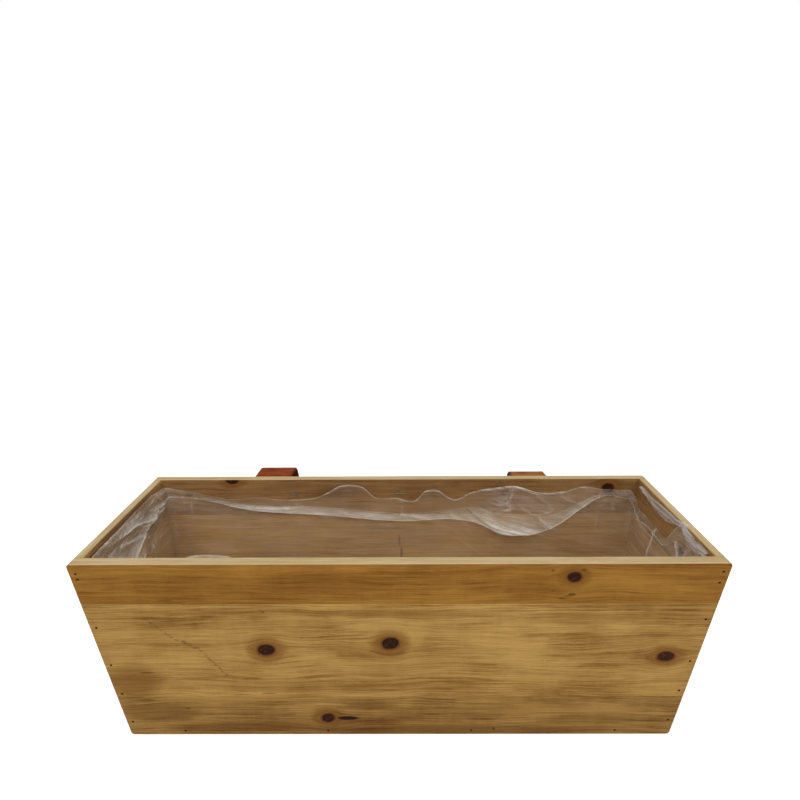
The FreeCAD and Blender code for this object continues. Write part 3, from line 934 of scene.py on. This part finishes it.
# Along the right wall (y): the two edges' depths of the flap that lies folded along the rim
STRIP_TOP = [(-98, 1), (-60, -0.4), (-36, -1.8), (-10, -0.4), (40, 0.6), (84, 2)]
STRIP_FOOT = [(-98, 8), (-75, 12), (-50, 8), (-36, 2.6), (-20, 7), (20, 12), (60, 10), (84, 4)]
strip_ends = (-96.0, 84.0)
strip_spacing = film_spacing / 1.5
strip_rows = 12
strip_lift = 1.4  # off the wall at its edges, and the more in its middle
strip_belly = 1.6
strip_crease_height = 2.0
# Partly bloom, partly painted sheen on the rim strip.
strip_bloom_and_sheen = 0.5
strip_corner = 6.0
strip_gather = -36.0  # where it is drawn together and back over the rim
strip_gather_width = 7.0
strip_foot_pull = 0.8  # how far it is drawn at its foot, and the more at its top
strip_top_pull = 6.5


def add_film_strip():
    """The flap of film folded along the right end's rim, drawn together at one place over the rim."""
    start, end = strip_ends
    count = round((end - start) / strip_spacing)
    half = WALLS["right"][2] - strip_corner
    points = []
    for i in range(count + 1):
        y = start + (end - start) * i / count
        top, foot = follow(STRIP_TOP, y), follow(STRIP_FOOT, y)
        drawn = math.exp(-((y - strip_gather) / strip_gather_width) ** 2)
        for k in range(strip_rows + 1):
            t = k / strip_rows
            crease = ridges(Vector((y / 46, t * 2.6 + y / 90, 4.0)), 2.2) ** 2 * strip_crease_height
            lift = strip_lift + math.sin(t * math.pi) * strip_belly + crease
            lift -= drawn * (strip_top_pull * (1 - t) + strip_foot_pull)
            base, inwards = film_base(("wall", "right", y / half), top + (foot - top) * t)
            points.append(base + inwards * lift)
    ring = strip_rows + 1
    faces = [(i * ring + k, (i + 1) * ring + k, (i + 1) * ring + k + 1, i * ring + k + 1)
             for i in range(count) for k in range(strip_rows)]
    strip = add_mesh("film_rim_strip", points, faces, bpy.data.materials["clear_film"])
    store(strip.data, "bloom_and_sheen", [strip_bloom_and_sheen] * len(points))
    mark_creases(strip.data)
    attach(strip, "box")


# ================ leather straps

LEATHERS = {
    "left": (srgb(148, 62, 14), srgb(98, 36, 6)),
    "right": (srgb(156, 98, 42), srgb(114, 62, 22)),
}
CUT_LEATHER = srgb(52, 28, 20)
leather_pore = 1.1
leather_roughness = 0.5
leather_specular = 0.04
leather_relief = 0.09


def leather(name, side):
    """Vegetable-tanned leather, darker along its cut edges and in its pores."""
    material, tree, shader = new_material(name)
    place, (x, y, z) = place_in_part(tree)
    pores = tree.nodes.new("ShaderNodeTexVoronoi")
    pores.feature = "DISTANCE_TO_EDGE"
    plug(pores, {"Vector": place, "Scale": 1 / (leather_pore * MM)})
    grain = Field(pores.outputs["Distance"]).rise(0.0, 0.16)
    mottle = cloud(x / 17, y / 17, z / 17, detail=5, roughness=0.62)
    scuffs = cloud(x / 2.6, y / 9, z / 9, detail=3, roughness=0.6)
    light, dark = LEATHERS[side]
    colour = blended(mottle.rise(0.3, 0.72) * 0.75 + scuffs * 0.12, light, dark)
    colour = blended(grain * -0.22 + 0.22, colour, dark)
    edge = (x - strap_middles[side]).size().rise(strap_width / 2 - 1.8, strap_width / 2 - 0.5)
    colour = blended(edge * 0.75, colour, CUT_LEATHER)
    plug(shader, {"Base Color": colour, "Specular IOR Level": leather_specular,
                  "Roughness": mottle * 0.16 + scuffs * 0.1 + leather_roughness})
    bumped(shader, grain * 0.6 + scuffs * 0.7, leather_relief)
    return material


def behind_rim(run, drop):
    """(up, out) of a point that lies level behind the back rim's edge by run, and drop below it."""
    return Vector((run * math.sin(lean) - drop * math.cos(lean),
                   run * math.cos(lean) + drop * math.sin(lean)))


def strap_corners(side):
    """The strap's (up, out) corners: from one end up the wall, round the loop and to the other."""
    half = strap_thickness / 2
    front_leg = strap_gap + half
    rear_leg = front_leg + strap_thickness + strap_gap
    fall = math.tan(math.radians(loop_top_falls[side]))
    start = behind_rim(0, loop_top_drops[side] + half)
    rear_run = loop_reaches[side] - half
    rear_top = behind_rim(rear_run, loop_top_drops[side] + half + rear_run * fall)
    along_top = rear_top - start
    rim_corner = start + along_top * ((front_leg - start.y) / along_top.y)
    tail = -(flex_depth + tail_length)
    return [
        Vector((tail, front_leg)),
        rim_corner,
        rear_top,
        behind_rim(rear_run - loop_foot_inset, loop_foot_drops[side]),
        Vector((pinched_length - flex_depth, rear_leg)),
        Vector((tail, rear_leg)),
    ]


def rounded(corners, radii, step=1.5):
    """Points along a path with rounded corners, evenly spaced on its runs and on its arcs."""
    points = [corners[0]]
    for i, radius in enumerate(radii, 1):
        before = (corners[i - 1] - corners[i]).normalized()
        after = (corners[i + 1] - corners[i]).normalized()
        half_angle = before.angle(after) / 2
        centre = corners[i] + (before + after).normalized() * (radius / math.sin(half_angle))
        first = corners[i] + before * (radius / math.tan(half_angle))
        last = corners[i] + after * (radius / math.tan(half_angle))
        points += run_between(points[-1], first, step)
        turn = math.pi - 2 * half_angle
        sign = 1 if (first - centre).cross(last - centre) > 0 else -1
        count = max(round(turn * radius / step), 6)
        for k in range(1, count + 1):
            offset = first - centre
            offset.rotate(Matrix.Rotation(sign * turn * k / count, 2))
            points.append(centre + offset)
    return points + run_between(points[-1], corners[-1], step)


def run_between(start, end, step):
    count = max(round((end - start).length / step), 1)
    return [start.lerp(end, k / count) for k in range(1, count + 1)]


def strap_outline():
    """The strap's cross-section as (across, through), with rounded edges."""
    half_width, half, radius = strap_width / 2, strap_thickness / 2, strap_edge_radius
    angles = [math.pi / 2 * k / 4 for k in range(5)]
    quarter = [(half_width - radius + radius * math.sin(angle), half - radius + radius * math.cos(angle))
               for angle in angles]
    upper = [(half_width * k / 5, half) for k in range(-4, 5)]
    right = quarter + [(x, -y) for x, y in reversed(quarter)]
    lower = [(x, -y) for x, y in reversed(upper)]
    left = [(-x, y) for x, y in reversed(right)]
    return upper + right + lower + left


strap_wear = 0.12  # how uneven its surface is


def add_strap(side):
    middle = strap_middles[side]
    radii = [rim_bend_radius, rear_bend_radii[side], foot_bend_radius, pinch_bend_radius]
    path = rounded(strap_corners(side), radii)
    outline = strap_outline()
    length = sum((b - a).length for a, b in zip(path, path[1:]))
    travelled = 0.0
    points = []
    for i, place in enumerate(path):
        if i:
            travelled += (place - path[i - 1]).length
        ahead = path[min(i + 1, len(path) - 1)] - path[max(i - 1, 0)]
        outwards = Vector((-ahead.y, ahead.x)).normalized()
        inset = tail_corner_radius - min(travelled, length - travelled, tail_corner_radius)
        cut = tail_corner_radius - math.sqrt(tail_corner_radius ** 2 - inset ** 2)
        limit = strap_width / 2 - cut
        for across, through in outline:
            x = min(max(across, -limit), limit)
            worn_at = Vector((across / 14, travelled / 18, 5.0 if side == "left" else 9.0))
            up, out = place + outwards * (through + noise.noise(worn_at) * strap_wear)
            points.append(wall_point("back", -(x + middle), up, out))
    ring = len(outline)
    faces = [tuple(range(ring))[::-1], tuple(range(len(points) - ring, len(points)))]
    for i in range(len(path) - 1):
        for k in range(ring):
            j = (k + 1) % ring
            faces.append((i * ring + k, i * ring + j, (i + 1) * ring + j, (i + 1) * ring + k))
    strap = add_mesh(f"{side}_strap", points, faces, leather(f"{side}_strap_leather", side))
    work = bmesh.new()
    work.from_mesh(strap.data)
    bmesh.ops.recalc_face_normals(work, faces=work.faces)
    work.to_mesh(strap.data)
    work.free()
    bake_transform(strap)
    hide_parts(f"{side}_strap_loop", f"{side}_strap_tails")


def wall_point(side, along, up, out):
    """A wall's (along, up, out) in the part's own frame."""
    turn, reach, _ = WALLS[side]
    place = Vector((along, -reach - up * math.sin(lean) - out * math.cos(lean),
                    box_height + up * math.cos(lean) - out * math.sin(lean)))
    return Matrix.Rotation(math.radians(turn), 3, "Z") @ place


# ================ stage, light and camera

stage_reach = 6000.0
stage_height = -0.2  # just under the box's foot
STAGE_COLOUR = (0.86, 0.86, 0.86, 1)
stage_glow = 0.6
world_light = 0.50


def add_floor():
    material, tree, shader = new_material("pale_floor")
    plug(shader, {"Base Color": STAGE_COLOUR, "Roughness": 0.9, "Specular IOR Level": 0.0})
    glow = tree.nodes.new("ShaderNodeEmission")
    plug(glow, {"Strength": seen_by_eye(tree) * stage_glow})
    joined = tree.nodes.new("ShaderNodeAddShader")
    plug(joined, {0: shader.outputs[0], 1: glow.outputs[0]})
    plug(tree.nodes["Material Output"], {"Surface": joined.outputs[0]})
    corners = [(x * stage_reach, y * stage_reach, stage_height)
               for x, y in ((-1, -1), (1, -1), (1, 1), (-1, 1))]
    add_mesh("floor", corners, [(0, 1, 2, 3)], material)


def add_world():
    """White to the eye, and a plain dimmer light for the box."""
    world = bpy.data.worlds.new("studio")
    bpy.context.scene.world = world
    world.use_nodes = True
    tree = world.node_tree
    lit = tree.nodes["Background"]
    plug(lit, {"Color": (1, 1, 1, 1), "Strength": world_light})
    seen = tree.nodes.new("ShaderNodeBackground")
    plug(seen, {"Color": (1, 1, 1, 1), "Strength": 1.0})
    mixed = tree.nodes.new("ShaderNodeMixShader")
    plug(mixed, {0: seen_by_eye(tree), 1: lit.outputs[0], 2: seen.outputs[0]})
    plug(tree.nodes["World Output"], {"Surface": mixed.outputs[0]})


LAMPS = {  # place, size and power; each shines at the box
    "key": ((-500.0, -900.0, 1500.0), 1100.0, 10.0),
    "fill": ((900.0, -1100.0, 900.0), 1200.0, 5.0),
    "top": ((0.0, 200.0, 1700.0), 1400.0, 5.0),
}


def add_lamps():
    for name, (place, size, power) in LAMPS.items():
        data = bpy.data.lights.new(name, "AREA")
        data.size = size * MM
        data.energy = power
        lamp = bpy.data.objects.new(name, data)
        lamp.location = Vector(place) * MM
        towards = Vector((0, 0, box_height / 2)) * MM - lamp.location
        lamp.rotation_euler = towards.to_track_quat("-Z", "Y").to_euler()
        bpy.context.scene.collection.objects.link(lamp)


def add_camera():
    pitch, yaw, roll = (math.radians(a) for a in (camera_pitch, camera_yaw, camera_roll))
    forward = Vector((math.sin(yaw) * math.cos(pitch), math.cos(yaw) * math.cos(pitch),
                      -math.sin(pitch)))
    level = Vector((math.cos(yaw), -math.sin(yaw), 0))
    upright = level.cross(forward)
    right = level * math.cos(roll) + upright * math.sin(roll)
    up = upright * math.cos(roll) - level * math.sin(roll)
    data = bpy.data.cameras.new("camera")
    data.lens = camera_lens
    camera = bpy.data.objects.new("camera", data)
    turned = Matrix((right, up, -forward)).transposed().to_4x4()
    camera.matrix_world = Matrix.Translation(Vector(camera_place) * MM) @ turned
    bpy.context.scene.collection.objects.link(camera)
    bpy.context.scene.camera = camera


bpy.context.scene.view_settings.view_transform = "Standard"
dress_boards()
dress_metal()
add_film()
add_film_strip()
for strap_side in ("left", "right"):
    add_strap(strap_side)
add_floor()
add_world()
add_lamps()
add_camera()
